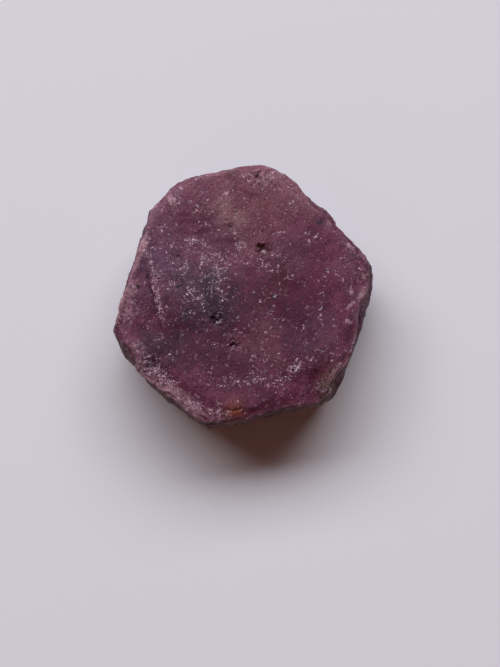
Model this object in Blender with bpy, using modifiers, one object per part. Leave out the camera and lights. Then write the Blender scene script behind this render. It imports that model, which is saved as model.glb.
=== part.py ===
"""Raw ruby crystal: a short, worn, barrel-shaped hexagonal corundum crystal, broken off flat at its base.

The crystal grew as one piece, so it is one solid, named ruby_crystal. It is made in the order in which
the real one came about: the crystal's own flat faces are planes that cut a block, wear takes small flat
bites off its edges, growth and breakage leave relief on the faces, and the break that it rests on is
one last flat cut.
Sizes are written in millimetres and angles in degrees, and turned to metres where Blender takes them.
+Z is up, X and Y lie along the table, and the origin is the middle of the base.
"""

import math
import random

import bmesh
import bpy
import numpy as np
from mathutils import Vector, noise

MM = 0.001

# Driving dimensions.
TOP_HEIGHT = 12.4
BLOCK_RADIUS = 26.0
BLOCK_BELOW = 1.5
BLOCK_ABOVE = 2.0

# The side faces: name, azimuth of the face, reach from the axis at its waist, height of the waist,
# lean inwards above the waist, lean inwards below it. Six are the hexagon's, 60 degrees apart give or
# take a few, and the rest are narrow faces that blunt its corners.
SIDE_FACES = (
    ("north_east", 44.0, 16.4, 8.2, 5.0, 6.0),
    ("north", 102.0, 17.35, 8.6, 6.0, 7.0),
    ("west", 163.0, 15.7, 7.6, 6.0, 8.0),
    ("south_west", 226.5, 18.35, 9.4, 4.0, 8.0),
    ("south", 284.0, 18.7, 9.4, 3.0, 9.0),
    ("south_east", 341.0, 18.4, 8.6, 8.0, 7.0),
    ("corner_north_east", 71.0, 18.6, 8.4, 8.0, 10.0),
    ("corner_north", 121.0, 17.3, 8.8, 7.0, 9.0),
    ("corner_north_west", 141.0, 17.4, 7.6, 8.0, 9.0),
    ("corner_west", 196.0, 19.2, 8.4, 8.0, 9.0),
    ("corner_south_west", 254.0, 20.5, 9.2, 5.0, 11.0),
    ("corner_south_east", 312.0, 20.3, 6.8, 13.0, 8.0),
    ("corner_east", 9.0, 19.2, 8.8, 8.0, 9.0),
    ("corner_east_upper", 25.0, 19.3, 7.4, 8.0, 9.0),
)

# Broken and worn slopes round the top: name, azimuth, slope from level, and the distance from the axis
# at which the slope leaves the top face.
RIM_SLOPES = (
    ("west_shoulder", 193.0, 13.0, 12.3),
    ("west_chip", 166.0, 38.0, 14.4),
    ("south_west_chip", 228.0, 27.0, 15.2),
    ("south_chip", 266.0, 36.0, 17.2),
    ("south_bevel", 286.0, 42.0, 17.2),
    ("south_east_chip", 322.0, 24.0, 15.3),
    ("east_chip", 349.0, 22.0, 14.6),
    ("east_bevel", 14.0, 32.0, 16.4),
    ("north_east_bevel", 43.0, 48.0, 15.6),
    ("north_shoulder", 76.0, 24.0, 16.0),
    ("north_bevel", 104.0, 46.0, 16.8),
    ("north_west_bevel", 134.0, 34.0, 16.3),
)

# Wear: how many flat bites were taken off the edges, how deep they go, and how steep they stand.
WEAR_BITES = 90
WEAR_DEPTH = (0.10, 0.55)
WEAR_ELEVATION = (-50.0, 62.0)
WEAR_SEED = 7

# Shell-shaped scars on the sides and the rim: azimuth, distance from the axis, height of the middle of
# the ball that would fit the scar, and the ball's radius.
SCARS = (
    (212.0, 21.2, 12.8, 4.2),
    (221.0, 21.2, 12.8, 3.6),
    (233.0, 21.9, 12.4, 4.0),
    (243.0, 24.5, 8.6, 5.2),
    (318.0, 22.6, 10.8, 4.2),
    (331.0, 24.3, 8.0, 5.6),
    (349.0, 22.6, 12.2, 4.4),
    (58.0, 20.6, 13.2, 4.0),
    (17.0, 25.9, 3.2, 7.2),
    (92.0, 24.9, 4.4, 7.6),
    (150.0, 20.9, 11.6, 4.0),
    (178.0, 23.2, 3.0, 6.6),
    (277.0, 24.9, 3.2, 7.4),
    (298.0, 23.9, 2.0, 5.2),
    (118.0, 21.6, 12.6, 4.2),
)

# Terraces left by growth: the spread of the plates around and up the side, how many levels they stand
# at, and the height from one level to the next.
SIDE_TERRACE = {"around": 9.0, "up": 2.2, "levels": 3.4, "step": 0.22, "riser": 0.24}
TOP_TERRACE = {"around": 8.5, "up": 8.5, "levels": 4.0, "step": 0.10, "riser": 0.20}

# Lumps on the sides and the slow swell of the whole surface: size and height.
LUMP_SIZE = 2.0
LUMP_HEIGHT = 0.08
SWELL_SIZE = 9.0
SWELL_HEIGHT = 0.24

# The ledge on the west of the top face: its two ends, how far the top drops across it, the width of
# its riser, and the length over which it dies out at each end.
LEDGE_START = (-12.8, 2.9)
LEDGE_END = (-10.7, -5.7)
LEDGE_DROP = 0.50
LEDGE_RISER = 0.30
LEDGE_FADE = 3.0
LEDGE_WANDER = 0.35

# Pits etched into the top: x, y, radius and depth, and how far their rims stray from round.
TOP_PITS = (
    (-3.2, -5.0, 0.85, 0.75),
    (3.4, 5.4, 0.95, 0.75),
    (-0.7, -8.4, 0.65, 0.65),
    (-8.4, -0.1, 0.55, 0.60),
    (-1.2, 8.6, 0.60, 0.50),
    (-8.5, 4.2, 0.60, 0.45),
    (-12.5, -11.1, 0.55, 0.45),
    (11.5, 9.1, 0.60, 0.45),
    (2.7, 16.1, 0.55, 0.55),
)
PIT_STRAY = 0.55

# The mesh: the grain of the mesh that carries the relief, and the triangles that the solid keeps.
RELIEF_GRAIN = 0.38
TRIANGLES = 8400


def clear_scene():
    """Removes every object, so that the script gives the same result wherever it is run."""
    for obj in list(bpy.data.objects):
        bpy.data.objects.remove(obj, do_unlink=True)


def direction(azimuth, elevation=0.0):
    """The unit vector at this azimuth from +X and this elevation above level."""
    a, e = math.radians(azimuth), math.radians(elevation)
    return Vector((math.cos(a) * math.cos(e), math.sin(a) * math.cos(e), math.sin(e)))


def at_height(height):
    """The point on the axis at this height."""
    return Vector((0, 0, height))


def cut_flat(bm, point, normal):
    """Cuts off what lies outside a plane, given in millimetres, and closes the body with one flat face."""
    cut = bmesh.ops.bisect_plane(
        bm,
        geom=bm.verts[:] + bm.edges[:] + bm.faces[:],
        dist=1e-7,
        plane_co=point * MM,
        plane_no=normal,
        clear_outer=True,
    )
    rim = [item for item in cut["geom_cut"] if isinstance(item, bmesh.types.BMEdge)]
    if rim:
        bmesh.ops.holes_fill(bm, edges=rim, sides=0)


def cut_crystal_faces(bm):
    """Cuts the block to the crystal's own faces, and to the slopes where its top edge broke away."""
    cut_flat(bm, at_height(TOP_HEIGHT), direction(0, 90))
    for _, azimuth, reach, waist, lean_above, lean_below in SIDE_FACES:
        point = direction(azimuth) * reach + at_height(waist)
        cut_flat(bm, point, direction(azimuth, lean_above))
        cut_flat(bm, point, direction(azimuth, -lean_below))
    for _, azimuth, slope, start in RIM_SLOPES:
        point = direction(azimuth) * start + at_height(TOP_HEIGHT)
        cut_flat(bm, point, direction(azimuth, 90 - slope))


def wear_edges(bm):
    """Takes small flat bites off whatever stands out furthest, as wear does."""
    chance = random.Random(WEAR_SEED)
    for _ in range(WEAR_BITES):
        normal = direction(chance.uniform(0, 360), chance.uniform(*WEAR_ELEVATION))
        furthest = max((vertex.co for vertex in bm.verts), key=normal.dot) / MM
        cut_flat(bm, furthest - normal * chance.uniform(*WEAR_DEPTH), normal)


def cut_block():
    """The flat-faced crystal, as a mesh."""
    height = TOP_HEIGHT + BLOCK_BELOW + BLOCK_ABOVE
    bm = bmesh.new()
    bmesh.ops.create_cone(
        bm,
        cap_ends=True,
        segments=48,
        radius1=BLOCK_RADIUS * MM,
        radius2=BLOCK_RADIUS * MM,
        depth=height * MM,
    )
    bmesh.ops.translate(bm, verts=bm.verts, vec=at_height(height / 2 - BLOCK_BELOW) * MM)
    cut_crystal_faces(bm)
    wear_edges(bm)
    mesh = bpy.data.meshes.new("ruby_crystal")
    bm.to_mesh(mesh)
    bm.free()
    return mesh


def apply_modifiers(obj):
    """Makes the object's evaluated shape its own mesh, and clears its modifiers."""
    graph = bpy.context.evaluated_depsgraph_get()
    shape = bpy.data.meshes.new_from_object(obj.evaluated_get(graph))
    obj.modifiers.clear()
    obj.data = shape


def even_mesh(obj):
    """Gives the flat-faced crystal an even mesh that is fine enough to carry relief."""
    remesh = obj.modifiers.new("even_mesh", "REMESH")
    remesh.mode = "VOXEL"
    remesh.voxel_size = RELIEF_GRAIN * MM
    apply_modifiers(obj)


def eased(low, high, value):
    """0 below low, 1 above high, and a smooth rise between them."""
    share = min(1.0, max(0.0, (value - low) / (high - low)))
    return share * share * (3 - 2 * share)


def terraces(point, around, up, levels, step, riser):
    """The height of the growth plates at this point: flat steps with short risers between them."""
    place = Vector((point.x / around, point.y / around, point.z / up))
    level = levels * (noise.noise(place) + 0.35 * noise.noise(place * 2.3))
    below = math.floor(level)
    return step * (below + eased(1 - riser, 1, level - below))


def scar_depth(point):
    """How deep this point lies inside the deepest of the shell-shaped scars."""
    depths = [
        radius - (point - direction(azimuth) * away - at_height(height)).length
        for azimuth, away, height, radius in SCARS
    ]
    return max(0.0, *depths)


def ledge_drop(point):
    """How far the top face drops here, west of its ledge."""
    start, end = Vector(LEDGE_START), Vector(LEDGE_END)
    length = (end - start).length
    along = (end - start) / length
    west = Vector((along.y, -along.x))
    offset = point.xy - start
    beside = offset.dot(west) + LEDGE_WANDER * noise.noise(point / 1.6)
    run = offset.dot(along)
    ends = eased(-LEDGE_FADE, 0, run) * (1 - eased(length, length + LEDGE_FADE, run))
    return LEDGE_DROP * ends * eased(-LEDGE_RISER, LEDGE_RISER, beside)


def pit_depth(point):
    """The depth of the pits in the top face at this point."""
    depth = 0.0
    for x, y, radius, deep in TOP_PITS:
        stray = 1 + PIT_STRAY * noise.noise(point / radius)
        away = (point.xy - Vector((x, y))).length / (radius * stray)
        depth += deep * (1 - eased(0.25, 1.15, away))
    return depth


def relief_at(point, normal):
    """How far the surface stands out from the flat-faced crystal at this point, in millimetres."""
    top = eased(0.55, 0.9, normal.z)
    side = 1 - eased(0.35, 0.8, abs(normal.z))
    relief = SWELL_HEIGHT * noise.noise(point / SWELL_SIZE)
    relief += side * terraces(point, **SIDE_TERRACE)
    relief += (1 - top) * LUMP_HEIGHT * noise.fractal(point / LUMP_SIZE, 0.9, 2.1, 3)
    relief += top * terraces(point, **TOP_TERRACE)
    relief -= eased(0.3, 0.8, normal.z) * (ledge_drop(point) + pit_depth(point))
    return relief - scar_depth(point)


def carve_relief(obj):
    """Moves each vertex along its normal by the relief at its place."""
    moved = [
        vertex.co + vertex.normal * relief_at(vertex.co / MM, vertex.normal) * MM
        for vertex in obj.data.vertices
    ]
    obj.data.vertices.foreach_set("co", np.array(moved, np.float32).ravel())
    obj.data.update()


def reduce_triangles(obj):
    """Leaves large facets where the crystal is flat, and small ones along its edges."""
    decimate = obj.modifiers.new("fewer_triangles", "DECIMATE")
    decimate.decimate_type = "COLLAPSE"
    decimate.use_collapse_triangulate = True
    decimate.ratio = TRIANGLES / sum(len(face.vertices) - 2 for face in obj.data.polygons)
    apply_modifiers(obj)


def break_base(obj):
    """The flat break on which the crystal rests, with the origin at its middle."""
    bm = bmesh.new()
    bm.from_mesh(obj.data)
    cut_flat(bm, at_height(0), direction(0, -90))
    bmesh.ops.triangulate(bm, faces=bm.faces)
    corners = np.array([vertex.co for vertex in bm.verts])
    middle = (corners.min(axis=0) + corners.max(axis=0)) / 2
    bmesh.ops.translate(bm, verts=bm.verts, vec=(-middle[0], -middle[1], -corners[:, 2].min()))
    bm.to_mesh(obj.data)
    bm.free()
    obj.data.update()


def ruby_material():
    """Purplish red corundum, with the soft shine of a worn natural face."""
    material = bpy.data.materials.new("raw_ruby")
    material.use_nodes = True
    shader = material.node_tree.nodes["Principled BSDF"]
    shader.inputs["Base Color"].default_value = (0.13, 0.045, 0.075, 1.0)
    shader.inputs["Roughness"].default_value = 0.4
    shader.inputs["Metallic"].default_value = 0.0
    shader.inputs["IOR"].default_value = 1.77
    return material


def build_crystal():
    """The crystal, as one object in its own collection."""
    crystal = bpy.data.objects.new("ruby_crystal", cut_block())
    collection = bpy.data.collections.new("raw_ruby_crystal")
    bpy.context.scene.collection.children.link(collection)
    collection.objects.link(crystal)
    even_mesh(crystal)
    carve_relief(crystal)
    reduce_triangles(crystal)
    break_base(crystal)
    crystal.data.materials.append(ruby_material())


def main():
    clear_scene()
    build_crystal()


main()
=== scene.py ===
# %% [markdown]
# # A raw ruby crystal
#
# The object is one natural crystal of corundum, coloured by chromium to a dusky, purplish red. It is a
# short hexagonal barrel, broken off flat at its base, with a pitted top, chipped rims and sides that carry
# ledges left by growth. This lesson dresses the plain solid of that crystal: it gives the surface its fine
# relief, its worn and frosted finish, and then a pale table, a soft window and a camera.

# %% Load the solid crystal
import math

import bpy
import numpy as np
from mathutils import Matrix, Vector
from mathutils.kdtree import KDTree


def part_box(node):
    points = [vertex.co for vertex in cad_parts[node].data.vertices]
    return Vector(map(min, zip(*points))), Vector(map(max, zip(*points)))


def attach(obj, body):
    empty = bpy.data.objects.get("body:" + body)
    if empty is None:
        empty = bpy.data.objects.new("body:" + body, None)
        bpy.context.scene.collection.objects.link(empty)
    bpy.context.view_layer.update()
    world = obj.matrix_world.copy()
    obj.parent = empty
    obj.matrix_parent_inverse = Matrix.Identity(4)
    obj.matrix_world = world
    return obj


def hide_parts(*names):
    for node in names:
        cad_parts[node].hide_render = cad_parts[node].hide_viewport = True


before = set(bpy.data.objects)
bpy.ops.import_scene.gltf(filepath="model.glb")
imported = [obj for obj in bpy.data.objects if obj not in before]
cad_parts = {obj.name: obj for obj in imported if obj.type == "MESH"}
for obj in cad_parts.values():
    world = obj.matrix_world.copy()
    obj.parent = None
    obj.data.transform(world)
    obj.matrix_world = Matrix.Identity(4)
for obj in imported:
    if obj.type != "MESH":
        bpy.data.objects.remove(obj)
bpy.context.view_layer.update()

MM = 0.001
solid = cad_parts["ruby_crystal"]
low, high = (Vector(corner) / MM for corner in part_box(solid.name))
print("the solid crystal measures", [round(side, 1) for side in high - low], "mm")

# %% [markdown]
# ## A mesh fine enough to carve
#
# The solid has a few thousand large triangles. Detail half a millimetre wide needs smaller ones, spread
# evenly. Subdividing would keep the long thin triangles, so a copy of the solid is rebuilt on a grid of
# small cubes instead, by the Remesh modifier. A light smoothing then melts the straight creases between
# the solid's triangles, which a real stone doesn't have.

# %% Copy the solid and rebuild its mesh
VOXEL = 0.17
SAME_PLACE = 0.001
SMOOTHING_FACTOR = 0.5
CREASE_SMOOTHING = 5

crystal = bpy.data.objects.new("raw_ruby", solid.data.copy())
bpy.context.scene.collection.objects.link(crystal)
bpy.ops.object.select_all(action="DESELECT")
crystal.select_set(True)
bpy.context.view_layer.objects.active = crystal


def apply_modifier(kind, **settings):
    """Adds a modifier to the crystal with these settings, and makes its result the crystal's own mesh."""
    bpy.ops.object.modifier_add(type=kind)
    modifier = crystal.modifiers[-1]
    for name, value in settings.items():
        setattr(modifier, name, value)
    bpy.ops.object.modifier_apply(modifier=modifier.name)


def smooth(times, group=""):
    """Evens out the crystal's surface this many times, all over or in one vertex group."""
    apply_modifier("SMOOTH", factor=SMOOTHING_FACTOR, iterations=times, vertex_group=group)


def rebuild(smoothing):
    """Rebuilds the crystal's mesh on a grid of small cubes, then smooths it this many times."""
    apply_modifier("REMESH", mode="VOXEL", voxel_size=VOXEL * MM)
    smooth(smoothing)


bpy.ops.object.mode_set(mode="EDIT")
bpy.ops.mesh.select_all(action="SELECT")
bpy.ops.mesh.remove_doubles(threshold=SAME_PLACE * MM)
bpy.ops.object.mode_set(mode="OBJECT")
rebuild(CREASE_SMOOTHING)
print("the fine mesh has", len(crystal.data.vertices), "vertices")

# %% [markdown]
# ## A crisper rim and fuller sides
#
# The solid's top ends in a plain bevel. On the south side of the real crystal the top runs almost level to
# its edge, and four of its sides bulge a little past the solid's flat planes. A sculpting brush could do
# both by hand. Here each vertex is moved by a rule instead, so that the stone comes out the same each
# time: on the southern bevel it rises most of the way to the level of the top, and near the middle of a
# fuller side it moves outwards. That stretches some triangles, so the mesh is rebuilt once more.


# %% Raise the southern rim and fill the sides
def eased(low_edge, high_edge, values):
    """0 at the first edge, 1 at the second, which may be the lower one, and a smooth change between them."""
    share = np.clip((values - low_edge) / (high_edge - low_edge), 0, 1)
    return share * share * (3 - 2 * share)


def read_surface():
    """The places of the crystal's vertices in millimetres, and the directions that they face."""
    count = len(crystal.data.vertices)
    places, facing = np.empty(count * 3), np.empty(count * 3)
    crystal.data.vertices.foreach_get("co", places)
    crystal.data.vertices.foreach_get("normal", facing)
    return places.reshape(-1, 3) / MM, facing.reshape(-1, 3)


def from_axis(places):
    """How far each vertex lies from the crystal's upright axis, and in which direction from it."""
    away = np.linalg.norm(places[:, :2], axis=1)
    return away, places[:, :2] / away[:, None]


def nearness(way_out, degrees):
    """1 where the way out from the axis points in this direction round from +X, and less to either side."""
    turn = math.radians(degrees)
    return way_out @ (math.cos(turn), math.sin(turn))


RIM_LEVEL = 12.1
RIM_FILL = 0.65
MOST_RAISED = 1.6
RAISED_SIDE = 290
# Each pair gives where an effect starts and where it is complete. A facing is 0 upright and 1 level.
RAISED_NEARNESS = (0.2, 0.6)
BEVEL_FACING = (0.25, 0.5)
BEVEL_HEIGHT = (8.8, 10.0)
SWELL_AWAY = (9.0, 15.0)
# Direction round from +X in degrees, half the width in degrees, and the most it moves out in millimetres.
FULLER_SIDES = ((26.0, 34.0, 0.36), (174.0, 30.0, 0.16), (105.0, 32.0, 0.10), (326.0, 20.0, 0.22))
RIM_SMOOTHING_AFTER = 2

places, facing = read_surface()
away, way_out = from_axis(places)
on_raised_side = eased(*RAISED_NEARNESS, nearness(way_out, RAISED_SIDE))
on_bevel = eased(*BEVEL_FACING, facing[:, 2]) * eased(*BEVEL_HEIGHT, places[:, 2])
below_level = np.clip(RIM_LEVEL - places[:, 2], 0, MOST_RAISED)
raised_by = RIM_FILL * on_raised_side * on_bevel * below_level
places[:, 2] += raised_by
for side, half_width, amount in FULLER_SIDES:
    near_side = eased(math.cos(math.radians(half_width)), 1.0, nearness(way_out, side))
    moved_out = amount * near_side * eased(*SWELL_AWAY, away)
    places[:, :2] += moved_out[:, None] * way_out
crystal.data.vertices.foreach_set("co", (places * MM).ravel())
crystal.data.update()
rebuild(RIM_SMOOTHING_AFTER)
print("the rim rose by up to", round(float(raised_by.max()), 2), "mm")

# %% [markdown]
# ## Where each kind of relief belongs
#
# The top is an old growth face, nearly flat. The sides are ribbed and broken, and the rims between them
# are chipped. The regions could be painted by hand, but each vertex's place and the way it faces already
# say where it belongs, so its weight for each region is worked out from those. A vertex group stores the
# weights, and a modifier can then be kept to one region. Three more groups hold the raised rim and the
# pits, which are plain bowls in the solid: some are broken open, and some are worn almost away.


# %% Sort the surface into regions
WEIGHT_STEPS = 20
TOP_FACING = (0.80, 0.97)
TOP_HEIGHT = (9.5, 11.0)
RIM_HEIGHT = (8.0, 10.5)
ABOVE_BASE = (0.1, 0.5)
MELTED_NEARNESS = (0.0, 0.5)
MELTED_HEIGHT = (10.4, 11.2)
MELTED_FACING = (0.6, 0.85)
PIT_HEIGHT = (9.5, 10.5)
PIT_AWAY = (1.3, 0.78)
# The middle of each pit, in millimetres.
BROKEN_PITS = ((-4.0, -4.1), (2.6, 6.3), (-1.5, -7.5), (-13.3, -10.2), (1.9, 17.0))
WORN_PITS = ((-9.2, 0.8), (-2.0, 9.5), (-9.3, 5.1), (10.7, 10.0))


def near_pits(places, pits):
    """1 at the middle of each pit in the top, fading to 0 at its edge."""
    away = np.min([np.hypot(*(places[:, :2] - pit).T) for pit in pits], axis=0)
    return eased(*PIT_AWAY, away) * eased(*PIT_HEIGHT, places[:, 2])


def make_group(name, weights):
    """Stores a weight for every vertex as a vertex group."""
    group = crystal.vertex_groups.new(name=name)
    steps = np.round(np.clip(weights, 0, 1) * WEIGHT_STEPS).astype(int)
    for step in range(1, WEIGHT_STEPS + 1):
        members = np.flatnonzero(steps == step).tolist()
        group.add(members, step / WEIGHT_STEPS, "REPLACE")


places, facing = read_surface()
away, way_out = from_axis(places)
levels, upward = places[:, 2], facing[:, 2]
above_base = eased(*ABOVE_BASE, levels)
top_share = eased(*TOP_FACING, upward) * eased(*TOP_HEIGHT, levels)
on_raised_side = eased(*MELTED_NEARNESS, nearness(way_out, RAISED_SIDE))
regions = {
    "top": top_share,
    "rim": (1 - top_share) * eased(*RIM_HEIGHT, levels),
    "side": (1 - top_share) * above_base,
    "all_but_base": above_base,
    "raised_rim": on_raised_side * eased(*MELTED_HEIGHT, levels) * eased(*MELTED_FACING, upward),
    "broken_pits": near_pits(places, BROKEN_PITS),
    "worn_pits": near_pits(places, WORN_PITS),
}
for name, weights in regions.items():
    make_group(name, weights)
    print("the region", name, "holds", int((weights > 0.5).sum()), "vertices")
steepness = 1 - upward

# %% [markdown]
# ## Relief
#
# Three things shaped this surface. Growth left thin plates with sharp edges, so a soft noise is cut into
# level steps. Breakage left small shells along the rims, and a Voronoi texture gives those: its distance
# rises away from scattered points and meets the next cell in a sharp ridge. Wear and etching left a fine
# grain everywhere. All this could be a bump in the material, but the outline would stay smooth, so the
# Displace modifier carves it into the mesh. An empty holds each texture's size in millimetres and its
# turn, and goes away once the modifier is applied.


# %% Carve the relief
def make_texture(name, kind, **settings):
    """A texture for a Displace modifier."""
    texture = bpy.data.textures.new(name, kind)
    for key, value in settings.items():
        setattr(texture, key, value)
    return texture


def cut_into_steps(texture, steps):
    """Turns a texture's smooth slopes into level steps."""
    texture.use_color_ramp = True
    ramp = texture.color_ramp
    ramp.interpolation = "CONSTANT"
    for number in range(1, steps):
        ramp.elements.new(number / steps)
    for number, element in enumerate(ramp.elements[:-1]):
        level = number / (steps - 1)
        element.color = (level, level, level, 1)


def carve(texture, group, height, size, turn=0.0):
    """Moves a region along its normals by a texture of this size, in millimetres, turned about +Z."""
    ruler = bpy.data.objects.new("ruler", None)
    bpy.context.scene.collection.objects.link(ruler)
    ruler.scale = [side * MM for side in size]
    ruler.rotation_euler.z = math.radians(turn)
    bpy.context.view_layer.update()
    apply_modifier(
        "DISPLACE",
        texture=texture,
        texture_coords="OBJECT",
        texture_coords_object=ruler,
        vertex_group=group,
        strength=height * MM,
        mid_level=0.5,
    )
    bpy.data.objects.remove(ruler)


plates = make_texture("growth_plates", "CLOUDS", noise_scale=1.0, noise_depth=1)
cut_into_steps(plates, steps=7)
shells = make_texture("broken_shells", "VORONOI", noise_scale=1.0, noise_intensity=1.0)
grain = make_texture("worn_grain", "CLOUDS", noise_scale=1.0, noise_depth=3)
ribs = make_texture("growth_ribs", "CLOUDS", noise_scale=1.0, noise_depth=2)
cut_into_steps(ribs, steps=6)

STREAK_TURN = 40.0
# The raised rim melts into the top, and the worn pits into shallow dimples, while the broken pits only
# lose their creases.
FIRST_SMOOTHING = {"raised_rim": 60, "broken_pits": 10, "worn_pits": 60}

for group, times in FIRST_SMOOTHING.items():
    smooth(times, group)
carve(shells, "broken_pits", height=0.45, size=(0.75, 0.5, 1.0), turn=STREAK_TURN)
carve(plates, "top", height=0.06, size=(4.2, 2.2, 4.2), turn=STREAK_TURN)
carve(grain, "top", height=0.035, size=(1.6, 0.55, 1.6), turn=STREAK_TURN)
carve(ribs, "side", height=0.40, size=(5.5, 5.5, 1.1))
carve(shells, "side", height=0.24, size=(2.4, 2.4, 1.5))
carve(shells, "rim", height=0.24, size=(1.5, 1.5, 1.1))
carve(grain, "side", height=0.20, size=(0.8, 0.8, 0.6))
carve(grain, "all_but_base", height=0.04, size=(0.45, 0.45, 0.45))
carved_height = max(corner[2] for corner in crystal.bound_box) / MM
print("the carved crystal is", round(carved_height, 2), "mm high")

# %% [markdown]
# ## Keep the base flat, and measure the ridges
#
# The crystal stands on its broken base, so that face is pressed level again after the carving.
#
# Frost gathers on ridges, where wear crushes the crystal, so the material has to know where the ridges
# are. Blender can paint this as dirty vertex colours, but those see only a vertex's nearest neighbours. A
# smoothed copy of the surface lies under every ridge and over every hollow, so the height of the real
# surface above it says how far a place stands out. The smoothing works from one vertex to the next, so
# this is measured now, while the vertices are still evenly spread. A little smoothing finds the small
# ridges, and a lot of it finds the rims of the whole crystal.


# %% Level the base and measure the ridges
BASE_SKIN = 0.12
RIDGE_SMOOTHING = 18
RIM_SMOOTHING = 150


def stands_out(smoothing):
    """How far each vertex stands out, in millimetres, from a copy of the surface smoothed this often."""
    bpy.ops.object.modifier_add(type="SMOOTH")
    softened = crystal.modifiers[-1]
    softened.factor = SMOOTHING_FACTOR
    softened.iterations = smoothing
    graph = bpy.context.evaluated_depsgraph_get()
    soft_places = np.empty(len(crystal.data.vertices) * 3)
    crystal.evaluated_get(graph).data.vertices.foreach_get("co", soft_places)
    crystal.modifiers.clear()
    places, facing = read_surface()
    return ((places - soft_places.reshape(-1, 3) / MM) * facing).sum(axis=1)


bpy.ops.object.mode_set(mode="EDIT")
bpy.ops.mesh.select_all(action="DESELECT")
bpy.ops.object.mode_set(mode="OBJECT")
places = read_surface()[0]
underneath = places[:, 2] < BASE_SKIN
crystal.data.vertices.foreach_set("select", underneath)
bpy.ops.object.mode_set(mode="EDIT")
bpy.ops.transform.resize(value=(1, 1, 0), center_override=(0, 0, 0))
bpy.ops.object.mode_set(mode="OBJECT")

ridge_heights = stands_out(RIDGE_SMOOTHING)
rim_heights = stands_out(RIM_SMOOTHING)
carved_places = read_surface()[0]
for name, heights in (("ridges", ridge_heights), ("rims", rim_heights)):
    lowest, middle, highest = (round(float(height), 3) for height in np.percentile(heights, (1, 50, 99)))
    print(name, "stand out by", lowest, "to", highest, "mm, and by", middle, "mm in the middle")

# %% [markdown]
# ## Thin the mesh
#
# The carved mesh has more triangles than it needs. The Decimate modifier takes them away where the surface
# is flattest, which is mostly underneath. What was measured on the carved surface is then handed to the
# nearest vertices of the thinned one, as attributes: a number at each vertex that the material can read.


# %% Thin the mesh and hand over what was measured
MOST_TRIANGLES = 190000
CREASE_ANGLE = 50


def store(name, values):
    """Keeps one number for each vertex under this name."""
    attribute = crystal.data.attributes.new(name, "FLOAT", "POINT")
    attribute.data.foreach_set("value", np.asarray(values, np.float32))


bpy.ops.object.mode_set(mode="EDIT")
bpy.ops.mesh.select_all(action="SELECT")
bpy.ops.mesh.quads_convert_to_tris()
bpy.ops.object.mode_set(mode="OBJECT")
triangles = len(crystal.data.polygons)
apply_modifier("DECIMATE", ratio=min(1.0, MOST_TRIANGLES / triangles))
bpy.ops.object.shade_smooth_by_angle(angle=math.radians(CREASE_ANGLE))
crystal.vertex_groups.clear()
print("the mesh went from", triangles, "to", len(crystal.data.polygons), "triangles")

carved_surface = KDTree(len(carved_places))
for number, spot in enumerate(carved_places):
    carved_surface.insert(spot, number)
carved_surface.balance()
places = read_surface()[0]
nearest = [carved_surface.find(spot)[1] for spot in places]
store("ridge", ridge_heights[nearest])
store("rim", rim_heights[nearest])
store("steep", steepness[nearest])

# %% [markdown]
# ## Raw corundum
#
# Corundum is aluminium oxide. It has no metal in its look, bends light strongly, with an index of
# refraction of 1.77, and here its surface is natural: frosted by wear, with tiny flat facets that flash
# where they face the light. Light also goes a little way in and comes out redder.
#
# An image wrapped round the stone could hold its colours, but it would blur close up. Here they come from
# patterns placed in millimetres and laid one over another: a mottled body, zones, grain and scratches, a
# skin of host rock, rust, frost, haze, pale flecks that are partly painted glints, painted shade in the
# hollows, and last the pits and cracks with painted shade, and the largest painted glints.


# %% Tools for the material
def colour(hex_code):
    """An sRGB colour such as '#804050' as the linear numbers that a shader takes."""
    channels = [int(hex_code[place : place + 2], 16) / 255 for place in (1, 3, 5)]
    linear = [c / 12.92 if c <= 0.04045 else ((c + 0.055) / 1.055) ** 2.4 for c in channels]
    return (*linear, 1.0)


def add_node(kind, inputs=None, settings=None, into=None):
    """Adds a node, such as "Math" for a ShaderNodeMath, sets it up, and fills or links its inputs."""
    into = into or tree
    node = into.nodes.new("ShaderNode" + kind)
    for name, value in (settings or {}).items():
        setattr(node, name, value)
    for name, value in (inputs or {}).items():
        if isinstance(value, bpy.types.NodeSocket):
            into.links.new(value, node.inputs[name])
        else:
            node.inputs[name].default_value = value
    return node


# Settings that many nodes share.
ADD = {"operation": "ADD"}
SUBTRACT = {"operation": "SUBTRACT"}
MULTIPLY = {"operation": "MULTIPLY"}
MULTIPLY_ADD = {"operation": "MULTIPLY_ADD"}
MAXIMUM = {"operation": "MAXIMUM"}
SOFT_ENDS = {"interpolation_type": "SMOOTHSTEP"}
COLOURS = {"data_type": "RGBA"}
# Sockets that share one name are told apart by number. For the colours of a Mix node these are the layer
# underneath and the layer over it, and then its mixed colour.
UNDER, OVER, MIXED = 6, 7, 2
NOISE_MIDDLE = 0.5

ruby = bpy.data.materials.new("natural_corundum")
ruby.use_nodes = True
tree = ruby.node_tree
shader = tree.nodes["Principled BSDF"]
coordinates = add_node("TexCoord")
# Everything below measures in millimetres.
place = add_node(
    "VectorMath", {0: coordinates.outputs["Object"], "Scale": 1 / MM}, {"operation": "SCALE"}
).outputs[0]
ridge, rim, steep = (
    add_node("Attribute", settings={"attribute_name": measure}).outputs["Fac"]
    for measure in ("ridge", "rim", "steep")
)


def centred_noise(size, detail, roughness):
    """A noise that pushes each way alike, with patches of this size in millimetres."""
    noise = add_node(
        "TexNoise", {"Vector": place, "Scale": 1 / size, "Detail": detail, "Roughness": roughness}
    ).outputs["Color"]
    return add_node("VectorMath", {0: noise, 1: (NOISE_MIDDLE,) * 3}, SUBTRACT).outputs[0]


def moved_about(noise, distance):
    """The place in the crystal, moved about by a centred noise times this many millimetres."""
    return add_node("VectorMath", {0: noise, 1: (distance,) * 3, 2: place}, MULTIPLY_ADD).outputs[0]


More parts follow.
